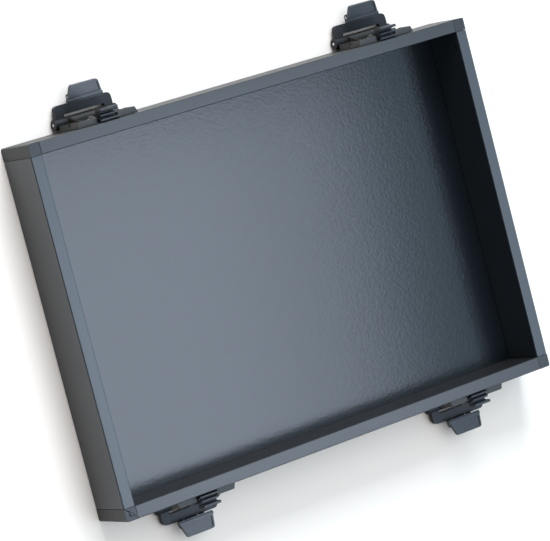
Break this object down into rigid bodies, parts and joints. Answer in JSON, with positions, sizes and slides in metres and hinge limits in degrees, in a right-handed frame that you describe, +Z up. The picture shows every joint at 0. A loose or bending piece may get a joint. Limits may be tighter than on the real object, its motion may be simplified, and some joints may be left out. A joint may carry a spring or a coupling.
{
  "type": "cable tray",
  "caption": "Shallow rectangular tray of framed rails with a floor panel, and toggle clamps with hinged bails and hook tabs on both long sides for joining it to a neighbour.",
  "frame": {"origin": "middle of the underside, on the surface the tray stands on", "axes": "+Z up out of the open side, X along the long sides, +Y towards the back long side; rails, floor and rim are square to the axes"},
  "size_m": [0.5, 0.4282, 0.052],
  "materials": {
    "coated_aluminium": "satin blue-grey powder coat",
    "coated_steel": "semi-gloss fine-textured powder coat",
    "post_plastic": "satin moulded",
    "base_plastic": "satin moulded",
    "clamp_plastic": "satin moulded, glass filled",
    "bright_steel": "zinc plated",
    "black_steel": "black oxide",
    "spring_steel": "drawn wire"
  },
  "bodies": {
    "tray": {"back_rail": "coated_aluminium", "back_corner_screw_a": "black_steel", "back_corner_screw_b": "black_steel", "left_rail": "coated_aluminium", "left_corner_screw_a": "black_steel", "left_corner_screw_b": "black_steel", "front_rail": "coated_aluminium", "front_corner_screw_a": "black_steel", "front_corner_screw_b": "black_steel", "right_rail": "coated_aluminium", "right_corner_screw_a": "black_steel", "right_corner_screw_b": "black_steel", "back_right_post": "post_plastic", "back_left_post": "post_plastic", "front_left_post": "post_plastic", "front_right_post": "post_plastic", "floor_panel": "coated_steel", "back_right_clamp_base": "base_plastic", "back_right_bail_pin": "bright_steel", "back_right_catch_pin": "bright_steel", "back_right_catch_spring": "spring_steel", "back_right_base_screw_a": "bright_steel", "back_right_base_screw_b": "bright_steel", "back_left_clamp_base": "base_plastic", "back_left_bail_pin": "bright_steel", "back_left_catch_pin": "bright_steel", "back_left_catch_spring": "spring_steel", "back_left_base_screw_a": "bright_steel", "back_left_base_screw_b": "bright_steel", "front_left_clamp_base": "base_plastic", "front_left_bail_pin": "bright_steel", "front_left_catch_pin": "bright_steel", "front_left_catch_spring": "spring_steel", "front_left_base_screw_a": "bright_steel", "front_left_base_screw_b": "bright_steel", "front_right_clamp_base": "base_plastic", "front_right_bail_pin": "bright_steel", "front_right_catch_pin": "bright_steel", "front_right_catch_spring": "spring_steel", "front_right_base_screw_a": "bright_steel", "front_right_base_screw_b": "bright_steel"},
    "back_right_bail": {"back_right_bail": "clamp_plastic", "back_right_tab_pin": "bright_steel"},
    "back_right_tab": {"back_right_hook_tab": "clamp_plastic"},
    "back_right_catch": {"back_right_thumb_catch": "clamp_plastic"},
    "back_left_bail": {"back_left_bail": "clamp_plastic", "back_left_tab_pin": "bright_steel"},
    "back_left_tab": {"back_left_hook_tab": "clamp_plastic"},
    "back_left_catch": {"back_left_thumb_catch": "clamp_plastic"},
    "front_left_bail": {"front_left_bail": "clamp_plastic", "front_left_tab_pin": "bright_steel"},
    "front_left_tab": {"front_left_hook_tab": "clamp_plastic"},
    "front_left_catch": {"front_left_thumb_catch": "clamp_plastic"},
    "front_right_bail": {"front_right_bail": "clamp_plastic", "front_right_tab_pin": "bright_steel"},
    "front_right_tab": {"front_right_hook_tab": "clamp_plastic"},
    "front_right_catch": {"front_right_thumb_catch": "clamp_plastic"}
  },
  "joints": [
    {"name": "back_right_bail_hinge", "type": "hinge", "parent": "tray", "child": "back_right_bail", "pos_m": [0.16, 0.1821, 0.0053], "axis": [1, 0, 0], "range_deg": [-90, 40]},
    {"name": "back_right_tab_hinge", "type": "hinge", "parent": "back_right_bail", "child": "back_right_tab", "pos_m": [0.16, 0.2033, 0.007], "axis": [1, 0, 0], "range_deg": [-100, 25]},
    {"name": "back_right_catch_hinge", "type": "hinge", "parent": "tray", "child": "back_right_catch", "pos_m": [0.16, 0.1805, 0.038], "axis": [-1, 0, 0], "range_deg": [0, 12], "stiffness_Nm_per_rad": 0.15},
    {"name": "back_left_bail_hinge", "type": "hinge", "parent": "tray", "child": "back_left_bail", "pos_m": [-0.16, 0.1821, 0.0053], "axis": [1, 0, 0], "range_deg": [-90, 40]},
    {"name": "back_left_tab_hinge", "type": "hinge", "parent": "back_left_bail", "child": "back_left_tab", "pos_m": [-0.16, 0.2033, 0.007], "axis": [1, 0, 0], "range_deg": [-100, 25]},
    {"name": "back_left_catch_hinge", "type": "hinge", "parent": "tray", "child": "back_left_catch", "pos_m": [-0.16, 0.1805, 0.038], "axis": [-1, 0, 0], "range_deg": [0, 12], "stiffness_Nm_per_rad": 0.15},
    {"name": "front_left_bail_hinge", "type": "hinge", "parent": "tray", "child": "front_left_bail", "pos_m": [-0.16, -0.1821, 0.0053], "axis": [-1, 0, 0], "range_deg": [-90, 40]},
    {"name": "front_left_tab_hinge", "type": "hinge", "parent": "front_left_bail", "child": "front_left_tab", "pos_m": [-0.16, -0.2033, 0.007], "axis": [-1, 0, 0], "range_deg": [-100, 25]},
    {"name": "front_left_catch_hinge", "type": "hinge", "parent": "tray", "child": "front_left_catch", "pos_m": [-0.16, -0.1805, 0.038], "axis": [1, 0, 0], "range_deg": [0, 12], "stiffness_Nm_per_rad": 0.15},
    {"name": "front_right_bail_hinge", "type": "hinge", "parent": "tray", "child": "front_right_bail", "pos_m": [0.16, -0.1821, 0.0053], "axis": [-1, 0, 0], "range_deg": [-90, 40]},
    {"name": "front_right_tab_hinge", "type": "hinge", "parent": "front_right_bail", "child": "front_right_tab", "pos_m": [0.16, -0.2033, 0.007], "axis": [-1, 0, 0], "range_deg": [-100, 25]},
    {"name": "front_right_catch_hinge", "type": "hinge", "parent": "tray", "child": "front_right_catch", "pos_m": [0.16, -0.1805, 0.038], "axis": [1, 0, 0], "range_deg": [0, 12], "stiffness_Nm_per_rad": 0.15}
  ]
}
